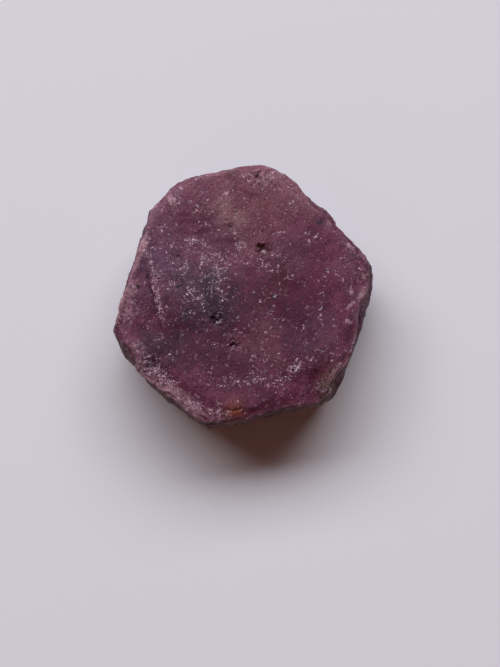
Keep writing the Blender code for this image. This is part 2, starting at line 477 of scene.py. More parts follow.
def blob(vector, middle, size, strength=1.0, core=0.2, turn=0.0):
    """An egg-shaped patch: this strong inside its core, fading to 0 at its edge, size millimetres away."""
    seen_from_middle = add_node(
        "Mapping",
        {"Vector": vector, "Location": middle, "Rotation": (0, 0, math.radians(turn)), "Scale": size},
        {"vector_type": "TEXTURE"},
    ).outputs[0]
    away = add_node("VectorMath", {0: seen_from_middle}, {"operation": "LENGTH"}).outputs["Value"]
    return add_node(
        "MapRange", {"Value": away, "From Min": 1.0, "From Max": core, "To Max": strength}, SOFT_ENDS
    ).outputs[0]


print("the material reads", [node.attribute_name for node in tree.nodes if node.type == "ATTRIBUTE"])

# %% [markdown]
# The body colour comes first: a deep wine that drifts to a dusty mauve, as the chromium in the crystal
# varies. One noise would do, but it looks like clouds, the same in every direction. So a second noise is
# added, drawn out along the streaks of the crystal's growth.

# %% The mottled body
DEEP_WINE = colour("#4b122c")
DUSTY_MAUVE = colour("#753953")
# The size of a pattern's patches is in millimetres, here and below.
CLOUD_SIZE = 3.57
STREAK_SIZE = (4.545, 0.909, 0.909)
STREAK_STRENGTH = 0.45
MAUVE_FROM, MAUVE_TO = 0.50, 0.95

clouds = add_node(
    "TexNoise", {"Vector": place, "Scale": 1 / CLOUD_SIZE, "Detail": 4.0, "Roughness": 0.62}
).outputs["Fac"]
along_streaks = add_node(
    "Mapping",
    {"Vector": place, "Rotation": (0, 0, math.radians(STREAK_TURN)), "Scale": STREAK_SIZE},
    {"vector_type": "TEXTURE"},
).outputs[0]
streaks = add_node(
    "TexNoise", {"Vector": along_streaks, "Scale": 1.0, "Detail": 3.0, "Roughness": 0.6}
).outputs["Fac"]
mottle = add_node("Math", {0: streaks, 1: STREAK_STRENGTH, 2: clouds}, MULTIPLY_ADD).outputs[0]
mottle_share = add_node(
    "MapRange", {"Value": mottle, "From Min": MAUVE_FROM, "From Max": MAUVE_TO}, SOFT_ENDS
).outputs[0]
body = add_node(
    "Mix", {"Factor": mottle_share, UNDER: DEEP_WINE, OVER: DUSTY_MAUVE}, COLOURS
).outputs[MIXED]
print("with its body, the material has", len(tree.nodes), "nodes")

# %% [markdown]
# The colour isn't the same all over. Where the crystal took up a trace of iron and titanium it turns
# violet and grey, and elsewhere it stays rosy. A noise could make such zones, but not where this crystal
# has them, so each is a soft ball of tint with a place of its own. A slow noise moves the place about
# first, which keeps the zones from being round. Only the distance to the middle is measured, because a
# renderer can hold just so many of the turned and stretched patches that the marks further down need.

# %% Zones of colour
WAVER_SIZE = 2.857
ZONE_WAVER = 10.0
ZONE_CORE = 0.2
# Name, middle in millimetres, radius, strength and tint.
ZONES = (
    ("grey_heart", (-5.0, -1.2, 12.5), 7.5, 0.72, "#352039"),
    ("dark_heart", (-4.3, -2.4, 12.5), 5.0, 0.58, "#26142a"),
    ("violet_west", (-12.0, 4.4, 12.0), 7.0, 0.60, "#6a4966"),
    ("rose_north", (3.9, 13.6, 12.5), 10.0, 0.65, "#885160"),
    ("rose_north_west", (-6.5, 15.5, 12.5), 8.0, 0.60, "#8c5066"),
    ("mauve_north", (-6.0, 6.8, 12.5), 5.5, 0.50, "#85506a"),
    ("wine_north_east", (7.0, 6.2, 12.5), 5.5, 0.55, "#5a2340"),
    ("wine_middle", (4.4, -2.2, 12.5), 8.8, 0.62, "#4c0f29"),
    ("plum_east", (12.0, 3.2, 12.0), 8.0, 0.50, "#662744"),
    ("plum_south", (-0.6, -9.2, 12.5), 9.0, 0.57, "#4c1731"),
    ("wine_south_west", (-9.5, -7.5, 12.5), 6.0, 0.60, "#401430"),
    ("violet_east", (8.8, -5.4, 12.5), 5.8, 0.58, "#471740"),
    ("mauve_far_west", (-15.8, -1.8, 11.0), 5.0, 0.42, "#6e4a63"),
    ("rose_west", (-11.6, 10.2, 12.0), 4.5, 0.45, "#94627a"),
    ("dusty_north", (-2.3, 11.6, 12.5), 4.5, 0.50, "#a3777f"),
    ("wine_north", (2.6, 11.2, 12.5), 3.5, 0.45, "#6a3245"),
    ("wine_north_west", (-6.2, 10.0, 12.5), 3.6, 0.50, "#5a263d"),
    ("rose_middle", (0.5, 7.8, 12.5), 3.5, 0.40, "#875062"),
    ("violet_north_west", (-8.2, 6.4, 12.5), 3.5, 0.40, "#7e546f"),
    ("violet_corner", (-12.6, -8.2, 12.0), 5.0, 0.70, "#2f1228"),
    ("wine_south", (-4.4, -8.9, 12.5), 4.0, 0.40, "#3d1228"),
    ("rose_south", (2.9, -8.0, 12.5), 4.5, 0.50, "#7f4a5a"),
    ("rose_east", (15.0, 2.2, 11.5), 4.0, 0.45, "#7e4c62"),
    ("rose_south_east", (12.4, -8.2, 12.0), 4.5, 0.50, "#744457"),
)

waver = centred_noise(WAVER_SIZE, detail=3.0, roughness=0.6)
wavering_place = moved_about(waver, ZONE_WAVER)
for name, middle, radius, strength, tint in ZONES:
    away = add_node(
        "VectorMath", {0: wavering_place, 1: middle}, {"operation": "DISTANCE"}
    ).outputs["Value"]
    zone_share = add_node(
        "MapRange",
        {"Value": away, "From Min": radius, "From Max": ZONE_CORE * radius, "To Max": strength},
        SOFT_ENDS,
    ).outputs[0]
    body = add_node(
        "Mix", {"Factor": zone_share, UNDER: body, OVER: colour(tint)}, {**COLOURS, "label": name}
    ).outputs[MIXED]
print("the body has", len(ZONES), "zones of colour")

# %% [markdown]
# The whole crystal is grained like coarse paper, light and dark from one speck to the next, and it is
# scratched, mostly one way. Drawn lines would be too clean, so the scratches are a noise stretched along
# their own direction. Both make the colour lighter and darker and leave its hue as it is.

# %% Grain in the colour
# Real grain and scratches are a tenth of a millimetre wide or less. That is too fine to show from where the
# camera stands, so both are drawn two to three times as coarse.
GRAIN_SIZE = (0.30, 0.16, 0.20)
GRAIN_CONTRAST = 1.25
SCRATCH_SIZE = (2.4, 0.28, 1.0)
SCRATCH_TURN = 54.0
SCRATCH_CONTRAST = 0.8

along_grain = add_node(
    "Mapping",
    {"Vector": place, "Rotation": (0, 0, math.radians(SCRATCH_TURN)), "Scale": GRAIN_SIZE},
    {"vector_type": "TEXTURE"},
).outputs[0]
grain_noise = add_node(
    "TexNoise", {"Vector": along_grain, "Scale": 1.0, "Detail": 3.0, "Roughness": 0.8}
).outputs["Fac"]
along_scratches = add_node(
    "Mapping",
    {"Vector": place, "Rotation": (0, 0, math.radians(SCRATCH_TURN)), "Scale": SCRATCH_SIZE},
    {"vector_type": "TEXTURE"},
).outputs[0]
scratches = add_node("TexNoise", {"Vector": along_scratches, "Scale": 1.0, "Detail": 2.0}).outputs["Fac"]
grain_light = add_node(
    "MapRange",
    {
        "Value": grain_noise,
        "To Min": 1 - GRAIN_CONTRAST - SCRATCH_CONTRAST / 2,
        "To Max": 1 + GRAIN_CONTRAST - SCRATCH_CONTRAST / 2,
    },
).outputs[0]
grain_light = add_node("Math", {0: scratches, 1: SCRATCH_CONTRAST, 2: grain_light}, MULTIPLY_ADD).outputs[0]
grained = add_node("HueSaturation", {"Value": grain_light, "Color": body}).outputs[0]
print("with its grain, the material has", len(tree.nodes), "nodes")

# %% [markdown]
# The sides carry a skin of the rock that the crystal grew in. On the south side it is thick and olive
# brown. Elsewhere it is thin and dusky, and the mauve shows through. It lies in uneven layers, wherever
# the surface is low or steep, and reaches highest at the south-east corner. It could be painted on by
# hand, but its reach follows from the height and from "steep", which is 0 where the surface is level and 1
# where it is upright, so the material works it out. The layers are a noise squeezed along +Z. It reads the
# wavering place, without which the layers would line up with the axes like a grid.

# %% The skin of host rock on the sides
OLIVE_DARK = colour("#1f170f")
OLIVE_PALE = colour("#64523e")
DUSKY_DARK = colour("#2c1a25")
DUSKY_PALE = colour("#705868")
SKIN_TOP, SKIN_BOTTOM = 9.0, 4.0
SKIN_CORNER = (12.9, -12.9, 10.2)
SKIN_CORNER_SIZE = (4.1, 3.6, 4.8)
STEEP_FROM, STEEP_TO = 0.42, 0.72
PATCH_SIZE = 2.0
PATCH_FROM, PATCH_TO = 0.36, 0.6
MOST_SKIN = 0.9
OLIVE_FROM, OLIVE_TO = -4.0, -11.0
LAYER_SIZE = (2.632, 2.632, 1.25)
LAYER_FROM, LAYER_TO = 0.36, 0.64

place_parts = add_node("SeparateXYZ", {0: place})
skin_height = add_node(
    "MapRange",
    {"Value": place_parts.outputs["Z"], "From Min": SKIN_TOP, "From Max": SKIN_BOTTOM},
    SOFT_ENDS,
).outputs[0]
skin_corner = blob(place, SKIN_CORNER, SKIN_CORNER_SIZE, core=0.5)
skin_reach = add_node("Math", {0: skin_height, 1: skin_corner}, MAXIMUM).outputs[0]
steep_share = add_node(
    "MapRange", {"Value": steep, "From Min": STEEP_FROM, "From Max": STEEP_TO}, SOFT_ENDS
).outputs[0]
skin_reach = add_node("Math", {0: skin_reach, 1: steep_share}, MAXIMUM).outputs[0]
skin_patches = add_node(
    "TexNoise", {"Vector": wavering_place, "Scale": 1 / PATCH_SIZE, "Detail": 5.0, "Roughness": 0.65}
).outputs["Fac"]
skin_cover = add_node(
    "MapRange",
    {"Value": skin_patches, "From Min": PATCH_FROM, "From Max": PATCH_TO, "To Max": MOST_SKIN},
    SOFT_ENDS,
).outputs[0]
skin_share = add_node("Math", {0: skin_reach, 1: skin_cover}, MULTIPLY).outputs[0]
skin_southness = add_node(
    "MapRange", {"Value": place_parts.outputs["Y"], "From Min": OLIVE_FROM, "From Max": OLIVE_TO}, SOFT_ENDS
).outputs[0]
along_layers = add_node(
    "VectorMath", {0: wavering_place, 1: LAYER_SIZE}, {"operation": "DIVIDE"}
).outputs[0]
layers = add_node(
    "TexNoise", {"Vector": along_layers, "Scale": 1.0, "Detail": 5.0, "Roughness": 0.75}
).outputs["Fac"]
layer_share = add_node(
    "MapRange", {"Value": layers, "From Min": LAYER_FROM, "From Max": LAYER_TO}
).outputs[0]
layer_share = add_node("Math", {0: layer_share, 1: grain_light}, {**MULTIPLY, "use_clamp": True}).outputs[0]
olive_skin = add_node(
    "Mix", {"Factor": layer_share, UNDER: OLIVE_DARK, OVER: OLIVE_PALE}, COLOURS
).outputs[MIXED]
dusky_skin = add_node(
    "Mix", {"Factor": layer_share, UNDER: DUSKY_DARK, OVER: DUSKY_PALE}, COLOURS
).outputs[MIXED]
skin_tint = add_node(
    "Mix", {"Factor": skin_southness, UNDER: dusky_skin, OVER: olive_skin}, COLOURS
).outputs[MIXED]
skinned = add_node("Mix", {"Factor": skin_share, UNDER: grained, OVER: skin_tint}, COLOURS).outputs[MIXED]
print("with its skin, the material has", len(tree.nodes), "nodes")

# %% [markdown]
# Water that seeped along cracks has left rust in a few places, and along the south-west rim a broken face
# shows pale grey. A plain soft patch would look painted on. So a quick noise first moves the place about,
# which crumbles the patch's edge, and a second one thins it here and there, as if it had soaked in.

# %% Rust stains
RUST = colour("#a0552f")
RUSTY_BROWN = colour("#4a2316")
CHIPPED_GREY = colour("#a89a90")
CRUMBLE_SIZE = 0.4167
CRUMBLE = 1.2
STAIN_CRUMBLE = 2.2
SOAK_SIZE = 0.4
SOAK_FROM, SOAK_TO = 0.35, 0.65
LEAST_SOAKED = 0.3
# Stains and marks are centred near the top's own level, and reach this far up and down.
TOP_LEVEL = 11.8
REACH = 4.0
# Middle in millimetres, size along its own X and Y, turn about +Z, strength and tint.
STAINS = (
    ((-1.4, -16.8), (2.2, 2.8), -8.0, 0.85, RUST),
    ((-13.2, -14.2), (2.0, 8.0), 46.0, 0.85, CHIPPED_GREY),
    ((-2.1, 17.0), (1.1, 0.9), 0.0, 1.0, RUSTY_BROWN),
    ((2.7, 6.2), (1.7, 1.1), -35.0, 1.0, RUSTY_BROWN),
    ((-9.3, 5.1), (1.2, 0.8), -35.0, 0.8, RUSTY_BROWN),
)

crumble = centred_noise(CRUMBLE_SIZE, detail=3.0, roughness=0.7)
crumbling_place = moved_about(crumble, CRUMBLE)
staining_place = moved_about(crumble, STAIN_CRUMBLE)
soaked = add_node(
    "TexNoise", {"Vector": place, "Scale": 1 / SOAK_SIZE, "Detail": 4.0, "Roughness": 0.75}
).outputs["Fac"]
soaked_share = add_node(
    "MapRange", {"Value": soaked, "From Min": SOAK_FROM, "From Max": SOAK_TO, "To Min": LEAST_SOAKED}
).outputs[0]
stained = skinned
for middle, size, turn, strength, tint in STAINS:
    stain = blob(staining_place, (*middle, TOP_LEVEL), (*size, REACH), strength, core=0.0, turn=turn)
    stain = add_node("Math", {0: stain, 1: soaked_share}, MULTIPLY).outputs[0]
    stained = add_node("Mix", {"Factor": stain, UNDER: stained, OVER: tint}, COLOURS).outputs[MIXED]
print("the crystal has", len(STAINS), "stains")

# %% [markdown]
# Frost is crushed crystal: white where it is thick, pink where the ruby shows through. A thin dusty bloom of
# it pales the whole rim. It is thicker along the ridges, and most of all where the rim was knocked. The
# Geometry node's pointiness also finds ridges, but only in one of Blender's engines and only from one
# vertex to the next, so the frost reads the "ridge" and "rim" heights that were measured before.

# %% Frost on ridges and knocked rims
FROST_PINK = colour("#bb8f9c")
WORN_ROSE = colour("#9a7480")
CRUSHED_SIZE = 0.4545
# How much a millimetre of standing out adds to the wear, and the wear at which frost starts and is full.
RIM_WEAR = 0.24
RIDGE_WEAR = 1.6
FROST_FROM, FROST_TO = 0.60, 0.89
MOST_FROST = 0.65
# Frost, bloom and flecks with their painted glints keep this share on the steep sides, and the painted shade
# in the hollows keeps this share under full frost.
STEEP_KEEPS = 0.25
HOLLOWS_KEEP = 0.6
BLOOM_FROM, BLOOM_TO = 0.02, 0.25
MOST_BLOOM = 0.5
BLOOM_PATCH_FROM, BLOOM_PATCH_TO = 0.35, 0.6
LEAST_BLOOM = 0.25
# Middle in millimetres, size along its own X, Y and Z, turn about +Z, and how much frost it adds.
KNOCKS = (
    ((-14.8, -8.4, 11.8), (2.2, 3.6, 3.2), 46.0, 0.14),
    ((-11.5, -12.6, 11.8), (2.2, 4.2, 3.2), 46.0, 0.21),
    ((-8.4, -15.8, 11.8), (2.5, 4.4, 3.2), 50.0, 0.26),
    ((-4.2, -17.3, 11.4), (4.6, 1.7, 3.0), -6.0, 0.16),
    ((-10.0, 13.6, 11.8), (2.2, 3.4, 3.0), 50.0, 0.10),
    ((3.0, 17.0, 11.8), (3.4, 1.6, 3.0), 0.0, 0.13),
    ((16.6, -0.3, 11.4), (1.3, 0.4, 2.5), 36.0, 0.34),
    ((15.0, -1.9, 11.4), (1.4, 0.45, 2.5), 43.0, 0.30),
    ((14.7, -4.2, 11.4), (1.0, 0.5, 2.5), -10.0, 0.34),
    ((15.1, 0.2, 11.4), (0.35, 1.1, 2.5), 0.0, 0.28),
    ((17.0, 2.5, 11.4), (0.5, 0.8, 2.5), -20.0, 0.30),
    ((15.0, 6.7, 11.6), (1.1, 0.6, 2.5), -45.0, 0.26),
    ((16.0, 2.0, 11.6), (2.6, 7.0, 3.2), 8.0, 0.13),
    ((-16.4, -1.2, 11.4), (1.8, 6.0, 3.2), -14.0, 0.28),
    ((-15.0, 6.0, 11.6), (1.8, 4.2, 3.2), -18.0, 0.31),
    ((9.6, -13.6, 11.6), (5.0, 2.0, 3.2), 30.0, 0.12),
    ((-12.2, -0.6, 12.2), (0.8, 5.5, 2.5), 12.0, 0.06),
)

crushed = add_node(
    "TexNoise", {"Vector": place, "Scale": 1 / CRUSHED_SIZE, "Detail": 5.0, "Roughness": 0.8}
).outputs["Fac"]
wear = add_node("Math", {0: rim, 1: RIM_WEAR, 2: crushed}, MULTIPLY_ADD).outputs[0]
wear = add_node("Math", {0: ridge, 1: RIDGE_WEAR, 2: wear}, MULTIPLY_ADD).outputs[0]
for middle, size, turn, bonus in KNOCKS:
    knock = blob(crumbling_place, middle, size, bonus, core=0.3, turn=turn)
    wear = add_node("Math", {0: wear, 1: knock}, ADD).outputs[0]
frost_share = add_node(
    "MapRange",
    {"Value": wear, "From Min": FROST_FROM, "From Max": FROST_TO, "To Max": MOST_FROST},
    SOFT_ENDS,
).outputs[0]
level_share = add_node("MapRange", {"Value": steep_share, "To Min": 1.0, "To Max": STEEP_KEEPS}).outputs[0]
frost_share = add_node("Math", {0: frost_share, 1: level_share}, MULTIPLY).outputs[0]
unfrosted_share = add_node(
    "MapRange", {"Value": frost_share, "From Max": MOST_FROST, "To Min": 1.0, "To Max": HOLLOWS_KEEP}
).outputs[0]
bloom_share = add_node(
    "MapRange", {"Value": rim, "From Min": BLOOM_FROM, "From Max": BLOOM_TO, "To Max": MOST_BLOOM}
).outputs[0]
bloom_share = add_node("Math", {0: bloom_share, 1: level_share}, MULTIPLY).outputs[0]
bloom_patches = add_node(
    "MapRange",
    {"Value": soaked, "From Min": BLOOM_PATCH_FROM, "From Max": BLOOM_PATCH_TO, "To Min": LEAST_BLOOM},
).outputs[0]
bloom_share = add_node("Math", {0: bloom_share, 1: bloom_patches}, MULTIPLY).outputs[0]
worn = add_node("Mix", {"Factor": bloom_share, UNDER: stained, OVER: WORN_ROSE}, COLOURS).outputs[MIXED]
frost_tint = add_node("HueSaturation", {"Value": grain_light, "Color": FROST_PINK}).outputs[0]
frosted = add_node("Mix", {"Factor": frost_share, UNDER: worn, OVER: frost_tint}, COLOURS).outputs[MIXED]
print("the rim was knocked in", len(KNOCKS), "places")

# %% [markdown]
# The top is scattered with pale flecks, no more than a grain of salt across. Their pale paint stands partly
# for crushed crystal and partly for painted glints, where small facets would catch the window. Spread evenly
# they would look like print. On the crystal they crowd together over the grey heart and at a few more
# places, with a thin lilac haze between them, so a slow noise with patches of bonus says how crowded a place
# is.

# %% Where the flecks crowd
HAZE_LILAC = colour("#94798d")
CROWD_SIZE = 2.0
HAZE_FROM, HAZE_TO = 0.52, 0.85
MOST_HAZE = 0.16
# Middle in millimetres, size along its own X, Y and Z, turn about +Z, and how much it adds.
CROWDS = (
    ((-6.4, 2.8, 12.5), (6.5, 7.0, 4.0), 0.0, 0.16),
    ((-2.6, -0.8, 12.5), (3.6, 3.4, 4.0), 0.0, 0.02),
    ((-12.3, -0.3, 12.0), (0.9, 6.4, 4.0), 9.0, 0.32),
    ((-13.6, 5.0, 12.0), (2.0, 2.6, 4.0), 0.0, 0.14),
    ((7.2, -10.8, 12.0), (1.8, 1.3, 4.0), 30.0, 0.30),
    ((2.6, -12.6, 12.0), (8.0, 3.4, 4.0), 0.0, 0.09),
    ((-11.6, -12.6, 12.0), (2.6, 8.5, 4.0), 46.0, 0.20),
    ((-1.0, 4.5, 12.5), (4.0, 3.0, 4.0), 40.0, 0.08),
    ((-5.6, -16.4, 12.0), (5.4, 2.0, 4.0), -12.0, 0.18),
    ((-10.8, 12.8, 12.0), (2.0, 4.0, 4.0), -50.0, 0.16),
    ((2.6, 16.4, 12.0), (5.0, 2.0, 4.0), 0.0, 0.13),
)

crowding = add_node(
    "TexNoise", {"Vector": place, "Scale": 1 / CROWD_SIZE, "Detail": 4.0, "Roughness": 0.65}
).outputs["Fac"]
for middle, size, turn, bonus in CROWDS:
    crowd = blob(crumbling_place, middle, size, bonus, turn=turn)
    crowding = add_node("Math", {0: crowding, 1: crowd}, ADD).outputs[0]
haze_share = add_node(
    "MapRange",
    {"Value": crowding, "From Min": HAZE_FROM, "From Max": HAZE_TO, "To Max": MOST_HAZE},
    SOFT_ENDS,
).outputs[0]
hazy = add_node("Mix", {"Factor": haze_share, UNDER: frosted, OVER: HAZE_LILAC}, COLOURS).outputs[MIXED]
print("the flecks crowd in", len(CROWDS), "places")

# %% [markdown]
# Thousands of flecks modelled one by one would make a heavy mesh, so three patterns make them. Their pale
# colour stands partly for crushed crystal and partly for painted glints. Specks are the peaks of a quick
# noise, so they have every size and shape. Spots lie round the points of a Voronoi pattern, and its cells
# each have a random colour: the red decides whether the spot is there, and the green how bright it is.
# Hooks are short stretches of the wandering lines along which another noise passes through its middle
# value. The dark hollows between them are painted shade, laid on the lowest parts of the specks' own noise.

# %% Pale flecks, partly painted glints, and painted shade in the hollows
# Pale flecks: partly crushed crystal, partly painted glints where small facets would catch the light.
FLECK_AND_HIGHLIGHT_PINK = colour("#eabac6")
FLECK_AND_HIGHLIGHT_LILAC = colour("#dcbdd4")
# The wine of the hollows is painted shade.
HOLLOW_SHADE_WINE = colour("#260f1a")
FLECK_WAVER = 1.0
SPECK_SIZE = 0.25
SPECK_FROM, SPECK_TO = 0.965, 1.05
MOST_SPECK = 0.9
SPOT_SPACING = 0.8
SPOT_RADIUS = 0.12
SPOT_CORE = 0.4
SPOT_ODDS = 2.5
HOOK_SIZE = 0.42
HOOK_WIDTH = 0.050
HOOK_CORE = 0.3
HOOK_SPACING = 0.625
HOOK_FROM, HOOK_TO = 0.895, 0.985
MOST_HOOK = 0.95
HOLLOW_FROM, HOLLOW_TO = 0.375, 0.205
MOST_HOLLOW_SHADE = 0.85
# How strongly crowding favours each kind.
SPECKS_CROWD, SPOTS_CROWD, HOOKS_CROWD, HOLLOWS_CROWD = 0.45, 3.0, 0.6, -0.20

fleck_place = moved_about(waver, FLECK_WAVER)
speck_noise = add_node(
    "TexNoise", {"Vector": fleck_place, "Scale": 1 / SPECK_SIZE, "Detail": 2.0, "Roughness": 0.75}
).outputs["Fac"]
speck_height = add_node("Math", {0: crowding, 1: SPECKS_CROWD, 2: speck_noise}, MULTIPLY_ADD).outputs[0]
speck_share = add_node(
    "MapRange", {"Value": speck_height, "From Min": SPECK_FROM, "From Max": SPECK_TO, "To Max": MOST_SPECK}
).outputs[0]

spots = add_node("TexVoronoi", {"Vector": fleck_place, "Scale": 1 / SPOT_SPACING})
spot_shape = add_node(
    "MapRange",
    {
        "Value": spots.outputs["Distance"],
        "From Min": SPOT_RADIUS / SPOT_SPACING,
        "From Max": SPOT_CORE * SPOT_RADIUS / SPOT_SPACING,
    },
).outputs[0]
spot_chance = add_node("SeparateColor", {0: spots.outputs["Color"]})
spot_odds = add_node(
    "Math", {0: crowding, 1: SPOTS_CROWD, 2: spot_chance.outputs["Red"]}, MULTIPLY_ADD
).outputs[0]
spot_kept = add_node("Math", {0: spot_odds, 1: SPOT_ODDS}, {"operation": "GREATER_THAN"}).outputs[0]
spot_brightness = add_node("Math", {0: spot_chance.outputs["Green"], 1: spot_shape}, MULTIPLY).outputs[0]
spot_share = add_node("Math", {0: spot_kept, 1: spot_brightness}, MULTIPLY).outputs[0]

hook_noise = add_node(
    "TexNoise", {"Vector": fleck_place, "Scale": 1 / HOOK_SIZE, "Detail": 1.0}
).outputs["Fac"]
off_middle = add_node("Math", {0: hook_noise, 1: NOISE_MIDDLE}, SUBTRACT).outputs[0]
off_line = add_node("Math", {0: off_middle}, {"operation": "ABSOLUTE"}).outputs[0]
hook_shape = add_node(
    "MapRange", {"Value": off_line, "From Min": HOOK_WIDTH, "From Max": HOOK_CORE * HOOK_WIDTH}
).outputs[0]
hook_chance = add_node(
    "TexNoise", {"Vector": fleck_place, "Scale": 1 / HOOK_SPACING, "Detail": 3.0, "Roughness": 0.7}
).outputs["Fac"]
hook_height = add_node("Math", {0: crowding, 1: HOOKS_CROWD, 2: hook_chance}, MULTIPLY_ADD).outputs[0]
hook_kept = add_node(
    "MapRange", {"Value": hook_height, "From Min": HOOK_FROM, "From Max": HOOK_TO, "To Max": MOST_HOOK}
).outputs[0]
hook_share = add_node("Math", {0: hook_kept, 1: hook_shape}, MULTIPLY).outputs[0]

# Painted shade: the lowest parts of the specks' noise are darkened, as small hollows in shade would be.
speck_hollow = add_node("Math", {0: crowding, 1: HOLLOWS_CROWD, 2: speck_noise}, MULTIPLY_ADD).outputs[0]
hollow_shade_share = add_node(
    "MapRange",
    {"Value": speck_hollow, "From Min": HOLLOW_FROM, "From Max": HOLLOW_TO, "To Max": MOST_HOLLOW_SHADE},
).outputs[0]
hollow_shade_share = add_node("Math", {0: hollow_shade_share, 1: unfrosted_share}, MULTIPLY).outputs[0]
shaded_hollows = add_node("Mix", {"Factor": hollow_shade_share, UNDER: hazy, OVER: HOLLOW_SHADE_WINE}, COLOURS).outputs[MIXED]

# The flecks' pale paint, partly crushed crystal and partly painted glints.
fleck_and_highlight_share = add_node("Math", {0: hook_share, 1: spot_share}, MAXIMUM).outputs[0]
fleck_and_highlight_share = add_node("Math", {0: fleck_and_highlight_share, 1: speck_share}, MAXIMUM).outputs[0]
fleck_and_highlight_share = add_node("Math", {0: fleck_and_highlight_share, 1: level_share}, MULTIPLY).outputs[0]
fleck_and_highlight_tint = add_node(
    "Mix", {"Factor": clouds, UNDER: FLECK_AND_HIGHLIGHT_LILAC, OVER: FLECK_AND_HIGHLIGHT_PINK}, COLOURS
).outputs[MIXED]
flecked_and_highlighted = add_node(
    "Mix", {"Factor": fleck_and_highlight_share, UNDER: shaded_hollows, OVER: fleck_and_highlight_tint}, COLOURS
).outputs[MIXED]
print("with its flecks, the material has", len(tree.nodes), "nodes")

# %% [markdown]
# Last come the pits, the cracks and the largest glints, each where it sits on this crystal. A random
# pattern couldn't place them, so they stand in a list. The bowls of the pits are in the mesh, and what is
# added here is their dark floors, which are painted shade, and so are the dark lines of the cracks and
# grooves. The glints are painted highlights. The noise that moved the stains about moves these too, so
# their edges crumble.

# %% Pits and cracks with painted shade, and painted glints
# Painted shade: the dark floors of the pits and the dark lines of the cracks and grooves stand for shade in
# them.
PIT_SHADE_BLACK = colour("#120a0d")
PIT_SHADE_BROWN = colour("#2a1512")
PIT_SHADE_BLUE = colour("#2a2038")
CRACK_SHADE_WINE = colour("#32101c")
# Painted highlight: a pale tint for glints on pit rims and small faces, standing for reflected window light.
PAINTED_HIGHLIGHT_TINT = colour("#d8c3d0")
# Middle in millimetres, size along its own X and Y, turn about +Z, strength and tint.
MARKS = (
    ((2.2, 6.7), (0.7, 0.35), -50.0, 0.8, PIT_SHADE_BROWN),
    ((2.7, 5.9), (0.55, 0.3), 10.0, 0.5, PAINTED_HIGHLIGHT_TINT),
    ((-4.1, -4.1), (0.7, 0.3), -10.0, 0.8, PIT_SHADE_BLACK),
    ((-3.6, -4.4), (0.5, 0.12), -20.0, 0.6, PAINTED_HIGHLIGHT_TINT),
    ((-1.5, -7.5), (0.6, 0.35), 20.0, 0.95, PIT_SHADE_BLACK),
    ((-9.2, 0.8), (0.5, 0.3), 40.0, 0.95, PIT_SHADE_BLACK),
    ((-10.2, -0.4), (1.5, 0.3), 48.0, 0.45, CRACK_SHADE_WINE),
    ((-15.0, 0.8), (0.35, 0.4), 0.0, 0.9, PIT_SHADE_BLACK),
    ((-13.6, 2.3), (0.3, 0.5), 0.0, 0.9, PIT_SHADE_BLACK),
    ((-12.85, -0.95), (0.4, 3.6), 13.0, 0.6, CRACK_SHADE_WINE),
    ((-2.0, 9.5), (0.6, 0.25), -40.0, 0.9, PIT_SHADE_BLACK),
    ((-1.3, 8.4), (0.3, 0.2), 30.0, 0.35, FLECK_AND_HIGHLIGHT_PINK),
    ((-13.3, -10.2), (0.5, 0.4), 0.0, 0.8, PIT_SHADE_BLUE),
    ((10.8, 9.9), (0.8, 0.5), 10.0, 0.75, PIT_SHADE_BLUE),
    ((1.9, 17.0), (0.38, 0.32), 0.0, 0.85, PIT_SHADE_BLACK),
    ((4.2, -0.8), (0.6, 0.6), 0.0, 0.7, PIT_SHADE_BLACK),
    ((4.3, -0.7), (0.28, 0.2), 30.0, 0.6, PAINTED_HIGHLIGHT_TINT),
    ((10.7, -2.5), (0.3, 0.2), 50.0, 0.5, PAINTED_HIGHLIGHT_TINT),
    ((-10.4, 13.1), (0.5, 0.7), 10.0, 0.35, FLECK_AND_HIGHLIGHT_PINK),
    ((7.4, -10.8), (0.7, 0.3), 35.0, 0.45, FLECK_AND_HIGHLIGHT_LILAC),
    ((8.9, -14.2), (0.22, 1.3), 0.0, 0.7, CRACK_SHADE_WINE),
    ((8.2, -14.6), (0.16, 0.8), 0.0, 0.6, CRACK_SHADE_WINE),
    ((13.9, -9.4), (1.1, 0.2), 62.0, 0.75, CRACK_SHADE_WINE),
    ((13.0, -10.8), (1.6, 0.16), 56.0, 0.4, FROST_PINK),
    ((12.2, -11.6), (1.4, 0.14), 52.0, 0.35, FROST_PINK),
)

marked_with_painted_light = flecked_and_highlighted
for middle, size, turn, strength, tint in MARKS:
    mark = blob(crumbling_place, (*middle, TOP_LEVEL), (*size, REACH), strength, core=0.4, turn=turn)
    marked_with_painted_light = add_node("Mix", {"Factor": mark, UNDER: marked_with_painted_light, OVER: tint}, COLOURS).outputs[MIXED]
tree.links.new(marked_with_painted_light, shader.inputs["Base Color"])
print("the crystal has", len(MARKS), "pits, cracks and glints of its own")

# %% [markdown]
# The flashes come from facets smaller than the mesh can hold, so they are made as a bump. In a few cells of
# a Voronoi pattern the height is a plane: the dot product of the plane's lean with the way from the cell's
# middle. A crystal's facets lie in the same few directions, so the leans differ only a little and many
# facets flash together. The grain and the specks also rise a little, as they do on the stone.

# %% Small facets and grain
FACET_SIZE = 0.38
# A facet's lean is the change of height in a millimetre, so 0.3 is about 17 degrees.
FLASHER_LEAN = (0.0, -0.30, 0.0)
FLASHER_SPREAD = 0.55
FLASHER_LUCK = 0.95
GRAIN_HEIGHT = 0.035
SPECK_HEIGHT = 0.08

